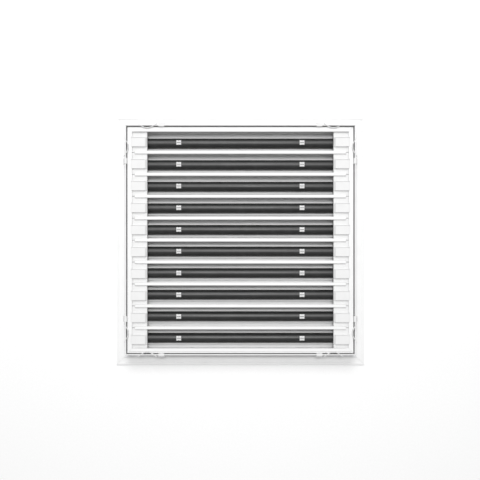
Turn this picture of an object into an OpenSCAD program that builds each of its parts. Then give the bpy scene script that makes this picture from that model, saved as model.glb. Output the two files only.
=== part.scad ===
// Removable-core linear slot grille, lying face down: the room-side face is at z = 0
// and the duct side is up. The slots run along X and lie side by side along Y.
// The origin is the centre of the face. Sizes are in millimetres.

/* [Slots] */
// Number of air slots across the core
slot_count = 10; // [4:1:14]
// Distance from one slot to the next
pitch = 38.1; // [37.5:0.1:44]
// Outside length of the core along its slots
core_length = 392.4; // [260:0.1:600]

/* [Frame] */
// Wall thickness of the neck that enters the duct
neck_wall = 1.5; // [1:0.1:2]
// Height of the neck above the face
neck_height = 38; // [37:0.5:60]
// Clear gap between the neck and the core
core_gap = 1.8; // [1.6:0.1:2.2]
// How far the flange reaches out from the neck
flange_reach = 21.1; // [16:0.1:40]
// Thickness of the flange
flange_thickness = 1.8; // [1.2:0.1:2.4]
// Width of the thicker lip along the flange's outer edge
lip_width = 4.1; // [2:0.1:6]

/* [Core bars] */
// Width of each T-bar's face, seen from the room; the rest of the pitch is the open slot
bar_face = 22.2; // [21:0.1:23]
// Thickness of each T-bar's web
bar_web = 1.5; // [1:0.1:2]
// Width of the bulb on each T-bar's rear edge
bulb_width = 5.3; // [3.6:0.1:6]
// Length of the spacer blocks at both ends of every slot
block_length = 27.7; // [27:0.1:34]

/* [Deflectors] */
// Outside radius of the half-round deflector
deflector_radius = 8.7; // [7:0.1:9]
// Wall thickness of the deflector
deflector_wall = 1.2; // [0.9:0.1:1.6]
// Length of the deflector's straight legs below its axis
deflector_leg = 2.7; // [1:0.1:3]
// Distance from the grille's centre line to each deflector clip
clip_offset = 107.5; // [60:0.5:110]

/* [Hidden] */
$fn = 64;

// Half sizes of the core, and the turn and half sizes that belong to each side
rail_overhang = 5.7;
half_x = core_length / 2;
half_y = slot_count * pitch / 2 + rail_overhang;
LEFT = [180, half_x, half_y];
RIGHT = [0, half_x, half_y];
FRONT = [270, half_y, half_x];
REAR = [90, half_y, half_x];
SIDES = [LEFT, RIGHT, FRONT, REAR];

// Cross-section places of the frame, counted outwards from the core's outer face
neck_in = core_gap;
neck_out = neck_in + neck_wall;
flange_out = neck_out + flange_reach;
lip_height = flange_thickness + 1;
edge_bevel = 0.8;
ledge_reach = 1;
ledge_height = 1.2;
mitre_gap = 0.05;
rail_run_out = 2;

// Channel beside the neck that holds the frame's corner keys
key_width = 6.9;
key_thickness = 1.2;
key_arm = 45;
channel_wall = 1;
channel_hook = 0.8;
key_play = 0.1;

// Cross-section of the core's border rails, counted from the core's outer face
wall = 1.2;
face_thickness = 1.5;
rail_inner_wall = -6.5;
slot_side_face = -(rail_overhang + bar_face / 2);
end_side_face = -12.4;
rail_strip_inner = -(rail_overhang + bulb_width / 2);
rear_strip_z = 35.5;
rebate_depth = 2.8;
rebate_z = 33.3;
strip_thickness = 1.5;
core_lip = 1.4;

// Hooked lip along the edges of every face, its hook turned away from the slot
lip_top_z = 8;
hook_reach = 4.1;
hook_thickness = 1.3;

// Core corner keys inside the hollow border rails
core_key_z = 3;
core_key_height = 10;
core_key_arm = 32;
core_key_play = 0.1;

// T-bars
bar_end_gap = 0.5;
bulb_z = 28.5;
bulb_height = 6;
bulb_bevel = 0.3;

// Tie rods that clamp the bars and spacer blocks together
rod_radius = 2;
rod_hole_radius = 2.15;
rod_z = 22;
rod_inset = 22.2;
rod_end_inset = 1.9;
nut_radius = 4.04;
nut_thickness = 2.6;

// Spacer blocks
block_play = 0.15;
block_rear_z = 31.5;
block_end_gap = 0.7;
block_undercut = 4.2;
block_ledge_z = 27;
block_bevel = 0.8;
boss_width = 16.2;
boss_shift = -1.1;
boss_bevel = 3.4;
boss_play = 0.12;
boss_rib = 0.8;
boss_groove = 0.7;
boss_groove_depth = 1.2;
slot_half = half_x + rail_inner_wall - block_length;
block_face = slot_half + block_undercut;

// Deflector pivots
pivot_z = 14;
pin_radius = 3;
pin_length = 8.4;
bore_radius = 3.06;
bore_depth = 9;
cap_gap = 0.4;
cap_plate = 1.2;
cap_plug = 5;
cap_play = 0.1;
deflector_half = block_face - cap_gap - cap_plate;

// Clips on the crest of each deflector
clip_length = 9.4;
clip_half_angle = 27;
clip_thickness = 1.3;
clip_groove = 0.5;
clip_stem_radius = 1.5;
clip_stem_spacing = 5;
clip_head_radius = 2.2;
clip_head = 0.8;

// Leaf springs threaded through the neck, bowed against the rebate of the core's border
spring_from_corner = 34.9;
spring_thickness = 1.1;
spring_bow_radius = 16.6;
spring_bow_angle = 35;
spring_arm = 8.5;
spring_arm_thickness = 1;
spring_arm_lap = 0.6;
spring_z = 33.6;
spring_play = 0.25;
notch_play = 0.15;

// Clips pushed over the neck's rim
rim_clip_from_corner = 59.3;
rim_clip_width = 10;
rim_clip_sheet = 0.9;
rim_clip_jaw = core_gap - 0.3;
rim_clip_leg = 7;
rim_clip_barb_reach = 4.8;
rim_clip_barb_drop = 11;

function slot_y(i) = (i - (slot_count + 1) / 2) * pitch;
function bar_y(i) = (i - slot_count / 2) * pitch;

// ---- Helpers ----

// A rectangle of a cross-section from its four limits
module plate(x0, x1, z0, z1) {
  translate([x0, z0]) square([x1 - x0, z1 - z0]);
}

// Turns a shape drawn on the +X side to the side it belongs to
module on_side(side) {
  rotate([0, 0, side[0]]) translate([side[1], 0, 0]) children();
}

// Runs a cross-section along one side of the core and mitres both ends.
// A face that is wider than the end faces stops square against them.
module mitred_run(half_length) {
  run = half_length + flange_out + rail_run_out;
  inner = slot_side_face - rail_run_out;
  outer = flange_out + rail_run_out;
  near = half_length + end_side_face - mitre_gap;
  far = half_length + outer - mitre_gap;
  intersection() {
    rotate([90, 0, 0]) linear_extrude(height = 2 * run, center = true) children();
    translate([0, 0, -1]) linear_extrude(height = neck_height + 2)
      polygon([
        [inner, -near], [end_side_face, -near], [outer, -far],
        [outer, far], [end_side_face, near], [inner, near]
      ]);
  }
}

// Puts two mirrored copies at a distance from the middle of a side
module at_both_ends(distance) {
  translate([0, distance, 0]) children();
  translate([0, -distance, 0]) children();
}

// Repeats a shape at the four corners of the core
module at_corners() {
  for (mx = [0, 1], my = [0, 1])
    mirror([mx, 0, 0]) mirror([0, my, 0]) translate([half_x, half_y, 0]) children();
}

// An L-shaped key whose two arms lie between two limits, measured from the corner
module corner_key(inner, outer, arm, height) {
  linear_extrude(height = height)
    polygon([
      [outer, outer], [outer - arm, outer], [outer - arm, inner],
      [inner, inner], [inner, outer - arm], [outer, outer - arm]
    ]);
}

// ---- Outer frame ----

module frame_profile() {
  key_z = flange_thickness + key_thickness + key_play;
  channel_in = neck_out + key_width + 2 * key_play;
  hook_z = key_z + channel_hook;
  polygon([
    [neck_in, 0], [flange_out - edge_bevel, 0], [flange_out, edge_bevel],
    [flange_out, lip_height], [flange_out - lip_width, lip_height],
    [flange_out - lip_width, flange_thickness], [neck_in, flange_thickness]
  ]);
  plate(neck_in, neck_out, 0, neck_height);
  plate(neck_in - ledge_reach, neck_in, flange_thickness, flange_thickness + ledge_height);
  plate(neck_out, neck_out + channel_hook, key_z, hook_z);
  plate(channel_in, channel_in + channel_wall, flange_thickness, hook_z);
  plate(channel_in - channel_hook, channel_in, key_z, hook_z);
}

// The neck is slotted, open at its rim, for the arms of the leaf springs
module frame_rail(side) {
  color("white") on_side(side) difference() {
    mitred_run(side[2]) frame_profile();
    at_both_ends(side[2] - spring_from_corner) spring_arms(notch_play, neck_height);
  }
}

module frame_corner_keys() {
  color("silver") at_corners() translate([0, 0, flange_thickness])
    corner_key(neck_out + key_play, neck_out + key_play + key_width, key_arm, key_thickness);
}

// ---- Retaining springs and rim clips ----

// Distance of the bow's centre from the core's outer face
function spring_center_u() = -rebate_depth + spring_play + spring_thickness / 2 + spring_bow_radius;

// The two straight arms that leave the bow and pass out through the neck, made larger by a play
module spring_arms(play, height) {
  start_u = spring_center_u() - spring_bow_radius * cos(spring_bow_angle);
  start_v = spring_bow_radius * sin(spring_bow_angle);
  for (s = [0, 1])
    mirror([0, s, 0]) translate([start_u, start_v, spring_z - play])
      rotate([0, 0, 90 - spring_bow_angle])
        translate([-spring_arm_lap, -spring_arm_thickness / 2 - play, 0])
          cube([spring_arm_lap + spring_arm + play, spring_arm_thickness + 2 * play, height]);
}

module leaf_spring() {
  height = neck_height - spring_z;
  translate([spring_center_u(), 0, spring_z])
    rotate([0, 0, 180 - spring_bow_angle])
      rotate_extrude(angle = 2 * spring_bow_angle, $fn = 180)
        translate([spring_bow_radius - spring_thickness / 2, 0]) square([spring_thickness, height]);
  spring_arms(0, height);
}

module springs(side) {
  color("gainsboro") on_side(side) at_both_ends(side[2] - spring_from_corner) leaf_spring();
}

module rim_clip() {
  top = neck_height + rim_clip_sheet;
  barb_out = neck_out + rim_clip_barb_reach;
  barb_z = neck_height - rim_clip_barb_drop;
  rotate([90, 0, 0]) linear_extrude(height = rim_clip_width, center = true) {
    plate(neck_in - rim_clip_jaw, neck_out + rim_clip_sheet, neck_height, top);
    plate(neck_in - rim_clip_jaw, neck_in, neck_height - rim_clip_leg, top);
    polygon([
      [neck_out, top], [neck_out + rim_clip_sheet, top], [barb_out, barb_z],
      [barb_out - rim_clip_sheet, barb_z], [neck_out, neck_height - rim_clip_sheet]
    ]);
  }
}

module rim_clips() {
  color("white") for (side = SIDES)
    on_side(side) at_both_ends(side[2] - rim_clip_from_corner) rim_clip();
}

// ---- Core border ----

module core_profile(face_inner) {
  rebate_in = -rebate_depth;
  plate(face_inner, core_lip, 0, face_thickness);
  plate(face_inner, face_inner + hook_thickness, 0, lip_top_z);
  plate(face_inner, face_inner + hook_reach, lip_top_z - hook_thickness, lip_top_z);
  plate(-wall, 0, 0, rebate_z);
  plate(rail_inner_wall, rail_inner_wall + wall, 0, rear_strip_z);
  plate(rail_strip_inner, rebate_in, rear_strip_z - strip_thickness, rear_strip_z);
  plate(rebate_in - wall, rebate_in, rebate_z - strip_thickness, rear_strip_z);
  plate(rebate_in - wall, 0, rebate_z - strip_thickness, rebate_z);
}

// The rails across the slots' ends have their rear strip cut out round each block's boss
module end_core_rail(side) {
  boss_y = side == LEFT ? -boss_shift : boss_shift;
  color("whitesmoke") on_side(side) difference() {
    mitred_run(side[2]) core_profile(end_side_face);
    for (i = [1:slot_count])
      translate([rail_strip_inner - 1, slot_y(i) + boss_y - boss_width / 2 - boss_play, bulb_z])
        cube([rail_inner_wall - rail_strip_inner + 1, boss_width + 2 * boss_play, neck_height]);
  }
}

// The rails that lie along the slots are drilled for the tie rods
module slot_core_rail(side) {
  color("whitesmoke") on_side(side) difference() {
    mitred_run(side[2]) core_profile(slot_side_face);
    for (x = [-1, 1])
      translate([rail_inner_wall - 1, x * (half_x - rod_inset), rod_z])
        rotate([0, 90, 0]) cylinder(h = wall + 2, r = rod_hole_radius);
  }
}

module core_corner_keys() {
  inner = rail_inner_wall + wall + core_key_play;
  color("silver") at_corners() translate([0, 0, core_key_z])
    corner_key(inner, -wall - core_key_play, core_key_arm, core_key_height);
}

// ---- T-bars, spacer blocks and tie rods ----

// A T-bar's section: the face with a hooked lip at each edge, the web, and the bulb
module bar_profile() {
  half_face = bar_face / 2;
  half_web = bar_web / 2;
  half_bulb = bulb_width / 2;
  bulb_top = bulb_z + bulb_height;
  hook_z = lip_top_z - hook_thickness;
  right = [
    [half_face, 0], [half_face, lip_top_z],
    [half_face - hook_reach, lip_top_z], [half_face - hook_reach, hook_z],
    [half_face - hook_thickness, hook_z], [half_face - hook_thickness, face_thickness],
    [half_web, face_thickness], [half_web, bulb_z], [half_bulb, bulb_z],
    [half_bulb, bulb_top - bulb_bevel], [half_bulb - bulb_bevel, bulb_top]
  ];
  left = [for (i = [len(right) - 1:-1:0]) [-right[i][0], right[i][1]]];
  polygon(concat(right, left));
}

module t_bar(i) {
  half_bar = half_x + end_side_face - bar_end_gap;
  color("white") translate([0, bar_y(i), 0]) difference() {
    rotate([90, 0, 90]) linear_extrude(height = 2 * half_bar, center = true) bar_profile();
    for (s = [-1, 1]) translate([s * (half_x - rod_inset), 0, rod_z])
      rotate([90, 0, 0]) cylinder(h = 2 * bulb_width, r = rod_hole_radius, center = true);
  }
}

// A slab of a block that starts at the slot's end, where its top edge is bevelled
module block_slab(x_end, half_width, z0, z1, bevel) {
  rotate([90, 0, 0]) linear_extrude(height = 2 * half_width, center = true)
    polygon([
      [slot_half, z0], [x_end, z0], [x_end, z1],
      [slot_half + bevel, z1], [slot_half, z1 - bevel]
    ]);
}

// A block fills the slot's end between two bars. It is undercut over the deflector's end,
// holds the pivot bore, is drilled for the tie rod and carries a grooved boss on its rear side.
// Beyond the bars' ends it reaches its neighbours, or stops short of the core's border rail.
module spacer_block(i) {
  x_end = half_x + rail_inner_wall;
  half_body = (pitch - bar_web) / 2 - block_play;
  half_neck = (pitch - bulb_width) / 2 - block_play;
  half_end = (pitch - block_end_gap) / 2;
  end_front = i == 1 ? half_body : half_end;
  end_rear = i == slot_count ? half_body : half_end;
  body_top = bulb_z - block_play;
  bar_end = half_x + end_side_face;
  groove_edge = boss_shift + boss_width / 2 - boss_rib - boss_groove;
  difference() {
    union() {
      translate([block_face, -half_body, lip_top_z])
        cube([x_end - block_face, 2 * half_body, body_top - lip_top_z]);
      block_slab(x_end, half_body, block_ledge_z, body_top, 0);
      block_slab(x_end, half_neck, block_ledge_z, block_rear_z, block_bevel);
      translate([bar_end, -end_front, lip_top_z])
        cube([x_end - bar_end, end_front + end_rear, block_rear_z - lip_top_z]);
      translate([0, boss_shift, 0])
        block_slab(x_end - boss_play, boss_width / 2, body_top, rear_strip_z, boss_bevel);
    }
    translate([slot_half - 1, groove_edge, rear_strip_z - boss_groove_depth])
      cube([block_length + 2, boss_groove, boss_groove_depth + 1]);
    translate([slot_half - 1, 0, pivot_z])
      rotate([0, 90, 0]) cylinder(h = block_undercut + bore_depth + 1, r = bore_radius);
    translate([half_x - rod_inset, 0, rod_z])
      rotate([90, 0, 0]) cylinder(h = pitch, r = rod_hole_radius, center = true);
  }
}

module spacer_blocks(left) {
  color("ghostwhite") mirror([left, 0, 0])
    for (i = [1:slot_count]) translate([0, slot_y(i), 0]) spacer_block(i);
}

module tie_rods() {
  color("silver") for (s = [-1, 1]) translate([s * (half_x - rod_inset), 0, rod_z])
    rotate([90, 0, 0]) cylinder(h = 2 * (half_y - rod_end_inset), r = rod_radius, center = true);
}

module tie_rod_nuts() {
  nut_y = half_y + rail_inner_wall + wall;
  color("silver") for (s = [-1, 1], t = [0, 1])
    mirror([0, t, 0]) translate([s * (half_x - rod_inset), nut_y, rod_z])
      rotate([-90, 0, 0]) difference() {
        cylinder(h = nut_thickness, r = nut_radius, $fn = 6);
        translate([0, 0, -1]) cylinder(h = nut_thickness + 2, r = rod_radius);
      }
}

// ---- Deflectors ----

// The half-round section with two straight legs, drawn round the pivot axis
module arch(r, leg) {
  intersection() {
    circle(r = r);
    plate(-r, r, 0, r);
  }
  plate(-r, r, -leg, 0.01);
}

module deflector(i) {
  inner = deflector_radius - deflector_wall;
  color("#303030") translate([0, slot_y(i), pivot_z]) difference() {
    rotate([90, 0, 90]) linear_extrude(height = 2 * deflector_half, center = true) difference() {
      arch(deflector_radius, deflector_leg);
      arch(inner, deflector_leg + 1);
    }
    clip_stems() cylinder(h = deflector_radius + 1, r = clip_stem_radius + 0.1);
  }
}

// A cap closes each end of the arch: a plug inside it, a plate over its end, and the pivot pin
module end_cap() {
  inner = deflector_radius - deflector_wall - cap_play;
  translate([deflector_half, 0, 0]) rotate([90, 0, 90]) {
    linear_extrude(height = cap_plate) arch(deflector_radius, deflector_leg);
    translate([0, 0, -cap_plug]) linear_extrude(height = cap_plug + 0.1) arch(inner, deflector_leg);
    cylinder(h = cap_plate + pin_length, r = pin_radius);
  }
}

module deflector_end_caps(i) {
  color("#202020") translate([0, slot_y(i), pivot_z]) for (s = [0, 1]) mirror([s, 0, 0]) end_cap();
}

// The four places where clip stems pass through a deflector
module clip_stems() {
  for (s = [-1, 1], t = [-1, 1])
    translate([s * clip_offset + t * clip_stem_spacing / 2, 0, 0]) children();
}

// A saddle on the crest, split by a groove, with stems that snap through the deflector
module clip_saddle() {
  outer = deflector_radius + clip_thickness;
  half_width = outer * sin(clip_half_angle);
  rotate([90, 0, 90]) linear_extrude(height = clip_length, center = true) difference() {
    circle(r = outer);
    circle(r = deflector_radius);
    plate(-outer, outer, -outer, 0);
    plate(-outer, -half_width, -outer, outer);
    plate(half_width, outer, -outer, outer);
    plate(-clip_groove, clip_groove, outer - clip_groove, outer + 1);
  }
}

module deflector_clips(i) {
  head_z = deflector_radius - deflector_wall - clip_head;
  color("white") translate([0, slot_y(i), pivot_z]) {
    for (s = [-1, 1]) translate([s * clip_offset, 0, 0]) clip_saddle();
    clip_stems() translate([0, 0, head_z]) {
      cylinder(h = deflector_radius + 0.5 - head_z, r = clip_stem_radius);
      translate([0, 0, -clip_head]) cylinder(h = clip_head + 0.3, r = clip_head_radius);
    }
  }
}

// ---- Nodes ----

frame_rail(LEFT);  // frame_rail_left
frame_rail(RIGHT);  // frame_rail_right
frame_rail(FRONT);  // frame_rail_front
frame_rail(REAR);  // frame_rail_rear
frame_corner_keys();
springs(LEFT);  // springs_left
springs(RIGHT);  // springs_right
springs(FRONT);  // springs_front
springs(REAR);  // springs_rear
rim_clips();
end_core_rail(LEFT);  // core_rail_left
end_core_rail(RIGHT);  // core_rail_right
slot_core_rail(FRONT);  // core_rail_front
slot_core_rail(REAR);  // core_rail_rear
core_corner_keys();
for (i = [1:slot_count - 1]) t_bar(i);
spacer_blocks(1);  // spacer_blocks_left
spacer_blocks(0);  // spacer_blocks_right
tie_rods();
tie_rod_nuts();
for (i = [1:slot_count]) deflector(i);
for (i = [1:slot_count]) deflector_end_caps(i);
for (i = [1:slot_count]) deflector_clips(i);
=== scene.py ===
import math

import bmesh
import bpy
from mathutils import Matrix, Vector


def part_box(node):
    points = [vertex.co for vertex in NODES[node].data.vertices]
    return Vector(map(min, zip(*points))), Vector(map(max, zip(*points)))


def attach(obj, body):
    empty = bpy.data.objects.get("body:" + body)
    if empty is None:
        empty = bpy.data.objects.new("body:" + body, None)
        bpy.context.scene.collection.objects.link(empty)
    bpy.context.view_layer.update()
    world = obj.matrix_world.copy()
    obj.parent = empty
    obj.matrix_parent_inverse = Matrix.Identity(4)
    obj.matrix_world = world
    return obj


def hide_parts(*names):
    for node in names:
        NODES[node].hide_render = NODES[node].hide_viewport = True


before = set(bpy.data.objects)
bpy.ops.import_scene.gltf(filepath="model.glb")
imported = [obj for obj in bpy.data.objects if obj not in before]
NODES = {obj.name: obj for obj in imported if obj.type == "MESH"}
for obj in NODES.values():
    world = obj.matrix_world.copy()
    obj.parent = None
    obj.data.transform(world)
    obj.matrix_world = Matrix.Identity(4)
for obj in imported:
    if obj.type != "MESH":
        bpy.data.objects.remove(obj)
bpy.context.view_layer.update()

MM = 0.001


# ---------------------------------------------------------------- materials


class Shader:
    """A small helper round one node tree: it adds nodes and links them by socket name."""

    def __init__(self, name):
        self.material = bpy.data.materials.new(name)
        self.material.use_nodes = True
        self.tree = self.material.node_tree
        self.surface = self.tree.nodes["Principled BSDF"]
        self.coords = self.add("ShaderNodeTexCoord").outputs["Object"]

    def add(self, kind, **settings):
        node = self.tree.nodes.new(kind)
        for key, value in settings.items():
            setattr(node, key, value)
        return node

    def link(self, source, target):
        self.tree.links.new(source, target)

    def stretched(self, scale):
        """Object coordinates scaled per axis, so that a noise runs as lines along one axis."""
        mapping = self.add("ShaderNodeMapping")
        mapping.inputs["Scale"].default_value = scale
        self.link(self.coords, mapping.inputs["Vector"])
        return mapping.outputs["Vector"]

    def noise(self, vector, scale, detail=2.0, roughness=0.5):
        node = self.add("ShaderNodeTexNoise")
        node.inputs["Scale"].default_value = scale
        node.inputs["Detail"].default_value = detail
        node.inputs["Roughness"].default_value = roughness
        self.link(vector, node.inputs["Vector"])
        return node.outputs["Fac"]

    def remap(self, value, low, high, start=0.3, stop=0.7):
        """Maps a texture's middle range to low..high."""
        node = self.add("ShaderNodeMapRange")
        node.inputs["From Min"].default_value = start
        node.inputs["From Max"].default_value = stop
        node.inputs["To Min"].default_value = low
        node.inputs["To Max"].default_value = high
        self.link(value, node.inputs["Value"])
        return node.outputs["Result"]

    def blend(self, factor, first, second):
        """A colour that runs from first to second with a texture value."""
        node = self.add("ShaderNodeMix", data_type="RGBA")
        node.inputs["A"].default_value = (*first, 1)
        node.inputs["B"].default_value = (*second, 1)
        self.link(factor, node.inputs["Factor"])
        return node.outputs["Result"]

    def bump(self, height, strength, distance, base=None):
        node = self.add("ShaderNodeBump")
        node.inputs["Strength"].default_value = strength
        node.inputs["Distance"].default_value = distance
        self.link(height, node.inputs["Height"])
        if base is not None:
            self.link(base, node.inputs["Normal"])
        return node.outputs["Normal"]

    def connect(self, **sockets):
        for key, value in sockets.items():
            self.link(value, self.surface.inputs[key.replace("_", " ")])

    def fix(self, **sockets):
        for key, value in sockets.items():
            self.surface.inputs[key.replace("_", " ")].default_value = value


def grey(level, tint=0.0):
    """A neutral colour; a small tint makes it a little cooler."""
    return (level * (1 - tint), level, level * (1 + tint))


LINE_STRETCH = 0.012


def along(axis):
    """Scale factors for lines along one axis: the grain is fine across it and long along it."""
    return tuple(LINE_STRETCH if i == axis else 1.0 for i in range(3))


def powder_coat(name, level, run_axis):
    """White powder coat on an extrusion: orange peel, faint die lines and a soft sheen."""
    s = Shader(name)
    peel = s.noise(s.coords, 900.0, 3.0, 0.55)
    mottle = s.noise(s.coords, 38.0, 4.0, 0.6)
    lines = s.noise(s.stretched(along(run_axis)), 950.0, 2.0, 0.6)
    shade = s.blend(s.remap(mottle, 0, 1), grey(level * 0.975), grey(level * 1.01))
    rough = s.remap(peel, 0.40, 0.52)
    normal = s.bump(lines, 0.08, 0.00006, s.bump(peel, 0.22, 0.00012))
    s.connect(Base_Color=shade, Roughness=rough, Normal=normal)
    s.fix(Specular_IOR_Level=0.45)
    return s.material


def moulded_plastic(name, level):
    """White moulded plastic with a fine spark-eroded grain."""
    s = Shader(name)
    grain = s.noise(s.coords, 2600.0, 2.0, 0.5)
    flow = s.noise(s.coords, 90.0, 3.0, 0.5)
    shade = s.blend(s.remap(flow, 0, 1), grey(level * 0.98), grey(level * 1.01))
    s.connect(
        Base_Color=shade,
        Roughness=s.remap(grain, 0.46, 0.6),
        Normal=s.bump(grain, 0.18, 0.00008),
    )
    s.fix(Specular_IOR_Level=0.4)
    return s.material


def black_extrusion(name, level, run_axis):
    """Satin black coating on a thin extrusion, with lengthwise die lines and a little dust."""
    s = Shader(name)
    lines = s.noise(s.stretched(along(run_axis)), 1400.0, 3.0, 0.65)
    dust = s.noise(s.coords, 60.0, 5.0, 0.7)
    shade = s.blend(s.remap(dust, 0, 1, 0.45, 0.75), grey(level), grey(level * 1.7))
    s.connect(
        Base_Color=shade,
        Roughness=s.remap(lines, 0.34, 0.46),
        Normal=s.bump(lines, 0.15, 0.00006),
    )
    return s.material


def black_plastic(name, level):
    """Dull black moulded plastic, for the deflectors' end caps."""
    s = Shader(name)
    grain = s.noise(s.coords, 2200.0, 2.0, 0.5)
    s.connect(
        Base_Color=s.blend(s.remap(grain, 0, 1), grey(level), grey(level * 1.4)),
        Roughness=s.remap(grain, 0.5, 0.66),
        Normal=s.bump(grain, 0.2, 0.00008),
    )
    return s.material


def bare_metal(name, level, run_axis, rough):
    """Mill-finish metal: long rolling lines and cloudy tarnish."""
    s = Shader(name)
    lines = s.noise(s.stretched(along(run_axis)), 1800.0, 3.0, 0.6)
    clouds = s.noise(s.coords, 120.0, 4.0, 0.6)
    s.connect(
        Base_Color=s.blend(s.remap(clouds, 0, 1), grey(level * 0.88, 0.01), grey(level, 0.01)),
        Roughness=s.remap(lines, rough, rough + 0.14),
        Normal=s.bump(lines, 0.2, 0.00005),
    )
    s.fix(Metallic=1.0)
    return s.material


X_AXIS, Y_AXIS = 0, 1
COAT_X = powder_coat("powder_coat_x", 0.82, X_AXIS)
COAT_Y = powder_coat("powder_coat_y", 0.82, Y_AXIS)
PLASTIC = moulded_plastic("white_plastic", 0.76)
BLACK = black_extrusion("black_extrusion", 0.018, X_AXIS)
CAP = black_plastic("black_plastic", 0.02)
SPRING = moulded_plastic("white_spring", 0.78)
# The deflector clips get a darker copy of the white plastic: painted shade for the shade they sit
# in down between the bars, not a different plastic.
CLIP_PAINTED_SHADE = moulded_plastic("clip_plastic_painted_shade", 0.71)
KEY = bare_metal("key_aluminium", 0.72, X_AXIS, 0.4)
ROD = bare_metal("rod_steel", 0.62, Y_AXIS, 0.35)

FINISH = {
    "frame_rail_left": COAT_Y,
    "frame_rail_right": COAT_Y,
    "frame_rail": COAT_X,
    "core_rail_left": COAT_Y,
    "core_rail_right": COAT_Y,
    "core_rail": COAT_X,
    "t_bar": COAT_X,
    "spacer_blocks": PLASTIC,
    "rim_clips": PLASTIC,
    "deflector_clips": PLASTIC,
    "deflector_end_caps": CAP,
    "deflector": BLACK,
    "springs": SPRING,
    "frame_corner_keys": KEY,
    "core_corner_keys": KEY,
    "tie_rod": ROD,
}


def finish_of(node):
    """The finish whose name is the longest start of the node's name."""
    fits = [key for key in FINISH if node.startswith(key)]
    return FINISH[max(fits, key=len)]


def coat(obj, material):
    obj.data.materials.clear()
    obj.data.materials.append(material)


for name, obj in NODES.items():
    coat(obj, finish_of(name))


# ---------------------------------------------------------------- edges of the CAD nodes

WELD = 0.000005
BEVEL_SEGMENTS = 2
BEVEL_ANGLE = math.radians(40)
EDGE_ROUND = {
    "frame_rail": 0.35,
    "core_rail": 0.3,
    "t_bar": 0.3,
    "spacer_blocks": 0.35,
    "frame_corner_keys": 0.15,
    "core_corner_keys": 0.3,
    "tie_rod_nuts": 0.2,
}


def round_edges(obj, radius):
    weld = obj.modifiers.new("weld", "WELD")
    weld.merge_threshold = WELD
    bevel = obj.modifiers.new("bevel", "BEVEL")
    bevel.width = radius
    bevel.segments = BEVEL_SEGMENTS
    bevel.limit_method = "ANGLE"
    bevel.angle_limit = BEVEL_ANGLE


for name, obj in NODES.items():
    for key, radius in EDGE_ROUND.items():
        if name.startswith(key):
            round_edges(obj, radius * MM)


# ---------------------------------------------------------------- pieces made here

CREASE = math.radians(35)
FILLET_STEPS = 6
DISC_STEPS = 24


def arc(center, radius, start, stop, steps):
    """Points of an arc, in degrees, ends included."""
    angles = [math.radians(start + (stop - start) * i / steps) for i in range(steps + 1)]
    return [(center[0] + radius * math.cos(a), center[1] + radius * math.sin(a)) for a in angles]


def disc(radius):
    """A closed round outline about the origin."""
    return arc((0, 0), radius, 0, 360 - 360 / DISC_STEPS, DISC_STEPS - 1)


def filleted(corners):
    """An outline from (x, y, radius) corners, with an arc in each corner that has a radius."""
    outline = []
    for i, (x, y, radius) in enumerate(corners):
        here = Vector((x, y))
        before = (Vector(corners[i - 1][:2]) - here).normalized()
        after = (Vector(corners[(i + 1) % len(corners)][:2]) - here).normalized()
        if radius == 0:
            outline.append((x, y))
            continue
        half_angle = before.angle(after) / 2
        center = here + (before + after).normalized() * (radius / math.sin(half_angle))
        first = here + before * (radius / math.tan(half_angle)) - center
        last = here + after * (radius / math.tan(half_angle)) - center
        for step in range(FILLET_STEPS + 1):
            spoke = first.lerp(last, step / FILLET_STEPS).normalized() * radius
            outline.append(tuple(center + spoke))
    return outline


class Maker:
    """Collects prisms and strips, in millimetres, and makes one piece from them."""

    def __init__(self):
        self.points = []
        self.faces = []

    def prism(self, outline, low, high, place):
        """An outline run from low to high; place turns (outline x, outline y, run) into x, y, z."""
        count = len(outline)
        start = len(self.points)
        for run in (low, high):
            self.points += [place(x, y, run) for x, y in outline]
        self.faces.append([start + i for i in range(count)])
        self.faces.append([start + count + i for i in reversed(range(count))])
        for i in range(count):
            j = (i + 1) % count
            self.faces.append([start + i, start + count + i, start + count + j, start + j])

    def strip(self, path, thickness, low, high, place):
        """A leaf of even thickness along a path, from low to high."""
        middle = [Vector(point) for point in path]
        sides = ([], [])
        for i, point in enumerate(middle):
            run = (middle[min(i + 1, len(middle) - 1)] - middle[max(i - 1, 0)]).normalized()
            out = Vector((-run.y, run.x)) * thickness / 2
            sides[0].append(tuple(point + out))
            sides[1].append(tuple(point - out))
        self.prism(sides[0] + sides[1][::-1], low, high, place)

    def piece(self, name, body, node, material, edge):
        """The finished piece, which rides on a body and stands for a CAD node."""
        mesh = bpy.data.meshes.new(name)
        mesh.from_pydata([tuple(c * MM for c in point) for point in self.points], [], self.faces)
        work = bmesh.new()
        work.from_mesh(mesh)
        bmesh.ops.recalc_face_normals(work, faces=work.faces)
        work.to_mesh(mesh)
        work.free()
        mesh.polygons.foreach_set("use_smooth", [True] * len(mesh.polygons))
        mesh.set_sharp_from_angle(angle=CREASE)
        mesh.materials.append(material)
        obj = bpy.data.objects.new(name, mesh)
        bpy.context.scene.collection.objects.link(obj)
        if edge > 0:
            bevel = obj.modifiers.new("edge", "BEVEL")
            bevel.width = edge * MM
            bevel.segments = BEVEL_SEGMENTS
            bevel.limit_method = "ANGLE"
            bevel.angle_limit = CREASE
        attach(obj, body)
        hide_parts(node)


def box_mm(node):
    """The two corners of a CAD node's box, in millimetres."""
    low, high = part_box(node)
    return low / MM, high / MM


# Half-round deflectors: an extruded arch with round-ended legs
DEFLECTOR_WALL = 1.2
OUTSIDE_STEPS = 72
INSIDE_STEPS = 64
LEG_END_STEPS = 8


def blade_place(number):
    """A deflector's place across the slots, the height of its pivot, and its radius."""
    low, high = box_mm(f"deflector_{number}")
    radius = (high.y - low.y) / 2
    return (low.y + high.y) / 2, high.z - radius, radius


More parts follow.
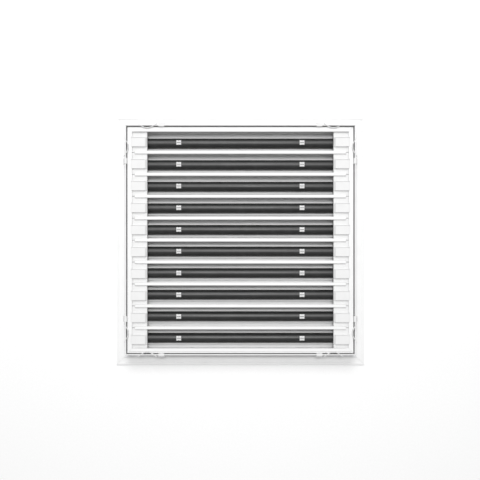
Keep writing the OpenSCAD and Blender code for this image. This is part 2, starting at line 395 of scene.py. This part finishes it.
def deflector_outline(radius, leg):
    """The section round the pivot axis: outside, round leg end, inside, round leg end."""
    inner = radius - DEFLECTOR_WALL
    tip = DEFLECTOR_WALL / 2
    end = -leg + tip
    outline = arc((0, 0), radius, 0, 180, OUTSIDE_STEPS)
    outline += arc((-radius + tip, end), tip, 180, 360, LEG_END_STEPS)
    outline += arc((0, 0), inner, 180, 0, INSIDE_STEPS)
    outline += arc((radius - tip, end), tip, 180, 360, LEG_END_STEPS)
    return outline


def make_deflector(number):
    node = f"deflector_{number}"
    low, high = box_mm(node)
    middle, pivot, radius = blade_place(number)
    maker = Maker()
    maker.prism(
        deflector_outline(radius, pivot - low.z), low.x, high.x,
        lambda a, b, run: (run, middle + a, pivot + b),
    )
    maker.piece(f"deflector_blade_{number}", f"deflector_unit_{number}", node, BLACK, 0)


# Clips on the crest: a thin saddle with four raised pads, slotted along the crest between two
# bridges, and two headed stems below. The steps are those of one arc of the saddle.
CLIP_LENGTH = 8.4
CLIP_THICKNESS = 1.3
CLIP_HALF_ANGLE = 24
CLIP_SPLIT = 1.2
CLIP_SLOT = 0.8
CLIP_BRIDGE = 0.9
SADDLE = 0.3
BRIDGE_RISE = 0.1
STEM_DEPTH = 0.5
STEM_SPACING = 5.0
STEM_RADIUS = 1.5
HEAD_RADIUS = 2.2
HEAD_REACH = 1.6
CLIP_EDGE = 0.22
SADDLE_STEPS = 12


def saddle_outline(inner, outer, start, stop):
    """A curved strip between two radii, from one angle to another."""
    outside = arc((0, 0), outer, start, stop, SADDLE_STEPS)
    return outside + arc((0, 0), inner, stop, start, SADDLE_STEPS)


def make_clips(number):
    node = f"deflector_clips_{number}"
    middle, pivot, radius = blade_place(number)
    offset = box_mm(node)[1].x - CLIP_LENGTH / 2
    half = CLIP_LENGTH / 2
    inner_half = half - CLIP_BRIDGE
    first, last = 90 - CLIP_HALF_ANGLE, 90 + CLIP_HALF_ANGLE
    split_angle = math.degrees(CLIP_SPLIT / 2 / radius)
    slot_angle = math.degrees(CLIP_SLOT / 2 / radius)
    under = radius - DEFLECTOR_WALL
    maker = Maker()
    for side in (-1, 1):
        center = side * offset

        def across(a, b, run):
            return (center + run, middle + a, pivot + b)

        for start, stop in ((first, 90 - slot_angle), (90 + slot_angle, last)):
            saddle = saddle_outline(radius, radius + SADDLE, start, stop)
            maker.prism(saddle, -inner_half - BRIDGE_RISE, inner_half + BRIDGE_RISE, across)
        bridge = saddle_outline(radius, radius + SADDLE + BRIDGE_RISE, first, last)
        for run in ((-half, -inner_half), (inner_half, half)):
            maker.prism(bridge, *run, across)
        for start, stop in ((first, 90 - split_angle), (90 + split_angle, last)):
            pad = saddle_outline(radius + SADDLE / 2, radius + CLIP_THICKNESS, start, stop)
            for run in ((-half, -CLIP_SPLIT / 2), (CLIP_SPLIT / 2, half)):
                maker.prism(pad, *run, across)
        for spot in (-STEM_SPACING / 2, STEM_SPACING / 2):

            def upright(a, b, run):
                return (center + spot + a, middle + b, pivot + run)

            stem_base = under - HEAD_REACH
            maker.prism(disc(STEM_RADIUS), stem_base, radius - STEM_DEPTH, upright)
            maker.prism(disc(HEAD_RADIUS), stem_base, stem_base + HEAD_REACH / 2, upright)
    maker.piece(f"deflector_clip_pads_{number}", f"deflector_unit_{number}", node, CLIP_PAINTED_SHADE, CLIP_EDGE)


# Places on a side of the frame: out from the core's outer face, and along the side
CORE_LIP = 1.4
CORE_GAP = 1.8
NECK_WALL = 1.5
HALF = box_mm("core_rail_right")[1].x - CORE_LIP
NECK_TOP = box_mm("frame_rail_right")[1].z
SIDE_TURN = {"right": 0, "rear": 90, "left": 180, "front": 270}


def on_side(side, out, along_side, z):
    """A point given by its place on one side of the frame, turned to that side."""
    turn = math.radians(SIDE_TURN[side])
    x, y = HALF + out, along_side
    return (
        x * math.cos(turn) - y * math.sin(turn),
        x * math.sin(turn) + y * math.cos(turn),
        z,
    )


# Leaf springs: a bow that bears on the core, and two arms that pass out through the neck
SPRING_FROM_CORNER = 34.9
SPRING_THICKNESS = 1.1
SPRING_BOW_RADIUS = 16.6
SPRING_BOW_ANGLE = 35
SPRING_BEARING = -2.55
SPRING_ARM = 7.2
SPRING_CURL_RADIUS = 1.8
SPRING_CURL_ANGLE = 38
SPRING_EDGE = 0.18
BOW_STEPS = 20
CURL_STEPS = 8


def spring_path():
    """The middle line of one spring, along the side and then outwards."""
    center = SPRING_BEARING + SPRING_THICKNESS / 2 + SPRING_BOW_RADIUS
    bow = arc((center, 0), SPRING_BOW_RADIUS, 180, 180 - SPRING_BOW_ANGLE, BOW_STEPS)
    lead = math.radians(90 - SPRING_BOW_ANGLE)
    run = Vector((math.cos(lead), math.sin(lead)))
    bend = Vector(bow[-1]) + run * SPRING_ARM
    hub = bend + Vector((-run.y, run.x)) * SPRING_CURL_RADIUS
    start = math.degrees(lead) - 90
    curl = arc(hub, SPRING_CURL_RADIUS, start, start + SPRING_CURL_ANGLE, CURL_STEPS)
    half = bow + curl
    mirrored = [(x, -y) for x, y in reversed(half[1:])]
    return mirrored + half


def make_springs(side):
    node = f"springs_{side}"
    low, high = box_mm(node)
    maker = Maker()
    for end in (-1, 1):
        place = end * (HALF - SPRING_FROM_CORNER)
        maker.strip(
            spring_path(), SPRING_THICKNESS, low.z, high.z,
            lambda a, b, run, place=place: on_side(side, a, place + b, run),
        )
    maker.piece(f"leaf_springs_{side}", "frame", node, SPRING, SPRING_EDGE)


# Rim clips: a folded strap over the neck's rim, with a jaw inside and a barb outside
RIM_CLIP_FROM_CORNER = 59.3
RIM_CLIP_WIDTH = 10.0
RIM_CLIP_SHEET = 0.9
RIM_CLIP_JAW = 1.5
RIM_CLIP_LEG = 7.0
RIM_CLIP_EDGE = 0.2
BARB_REACH = 4.8
BARB_DROP = 11.0
LEG_ROUND = 0.5
FOLD_ROUND = 0.7
SHOULDER_ROUND = 0.6
BARB_ROUND = 0.25


def rim_clip_outline():
    inside = CORE_GAP - RIM_CLIP_JAW
    outside = CORE_GAP + NECK_WALL
    top = NECK_TOP + RIM_CLIP_SHEET
    leg_end = NECK_TOP - RIM_CLIP_LEG
    barb_end = NECK_TOP - BARB_DROP
    return filleted([
        (inside, leg_end, LEG_ROUND), (inside, top, FOLD_ROUND),
        (outside + RIM_CLIP_SHEET, top, SHOULDER_ROUND),
        (outside + BARB_REACH, barb_end, BARB_ROUND),
        (outside + BARB_REACH - RIM_CLIP_SHEET, barb_end, BARB_ROUND),
        (outside, NECK_TOP - RIM_CLIP_SHEET, 0), (outside, NECK_TOP, 0),
        (CORE_GAP, NECK_TOP, 0), (CORE_GAP, leg_end, LEG_ROUND),
    ])


def make_rim_clips():
    maker = Maker()
    half = RIM_CLIP_WIDTH / 2
    for side in SIDE_TURN:
        for end in (-1, 1):
            middle = end * (HALF - RIM_CLIP_FROM_CORNER)
            maker.prism(
                rim_clip_outline(), middle - half, middle + half,
                lambda a, b, run, side=side: on_side(side, a, run, b),
            )
    maker.piece("rim_clip_straps", "frame", "rim_clips", PLASTIC, RIM_CLIP_EDGE)


SLOT_COUNT = sum(name.startswith("deflector_clips_") for name in NODES)
for index in range(1, SLOT_COUNT + 1):
    make_deflector(index)
    make_clips(index)
for side_name in SIDE_TURN:
    make_springs(side_name)
make_rim_clips()


# ---------------------------------------------------------------- floor, light and camera


FLOOR_HALF = 3.0
FLOOR_BELOW = 0.0004


def make_floor():
    mesh = bpy.data.meshes.new("floor")
    signs = ((-1, -1), (1, -1), (1, 1), (-1, 1))
    corners = [(x * FLOOR_HALF, y * FLOOR_HALF, -FLOOR_BELOW) for x, y in signs]
    mesh.from_pydata(corners, [], [(0, 1, 2, 3)])
    floor = bpy.data.objects.new("floor", mesh)
    bpy.context.scene.collection.objects.link(floor)
    s = Shader("floor_paper")
    fibre = s.noise(s.coords, 300.0, 3.0, 0.6)
    s.connect(
        Base_Color=s.blend(s.remap(fibre, 0, 1), grey(0.90), grey(0.92)),
        Normal=s.bump(fibre, 0.03, 0.0001),
    )
    s.fix(Roughness=0.95, Specular_IOR_Level=0.1)
    mesh.materials.append(s.material)


def make_light(name, place, size, power):
    """A round soft light that faces the middle of the grille."""
    data = bpy.data.lights.new(name, "AREA")
    data.shape = "DISK"
    data.size = size
    data.energy = power
    light = bpy.data.objects.new(name, data)
    light.location = place
    light.rotation_mode = "QUATERNION"
    light.rotation_quaternion = (-Vector(place)).to_track_quat("-Z", "Y")
    bpy.context.scene.collection.objects.link(light)


def make_world(strength):
    world = bpy.data.worlds.new("studio")
    world.use_nodes = True
    background = world.node_tree.nodes["Background"]
    background.inputs["Color"].default_value = (1, 1, 1, 1)
    background.inputs["Strength"].default_value = strength
    bpy.context.scene.world = world


CAMERA_RISE = 1.14
CAMERA_Y = -0.0659
CAMERA_LENS = 49.3
CAMERA_SHIFT = (-0.0008, 0.0792)


def make_camera():
    """It looks straight down at the duct side, from a little towards -Y."""
    bar_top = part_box("t_bar_1")[1].z
    data = bpy.data.cameras.new("camera")
    data.lens = CAMERA_LENS
    data.shift_x, data.shift_y = CAMERA_SHIFT
    camera = bpy.data.objects.new("camera", data)
    camera.location = (0, CAMERA_Y, bar_top + CAMERA_RISE)
    bpy.context.scene.collection.objects.link(camera)
    bpy.context.scene.camera = camera


make_floor()
make_world(0.45)
make_light("key", place=(-0.1, 1.95, 2.9), size=1.5, power=46.0)
make_light("overhead", place=(0.0, 0.28, 2.2), size=0.5, power=21.0)
make_camera()
bpy.context.scene.view_settings.view_transform = "Standard"
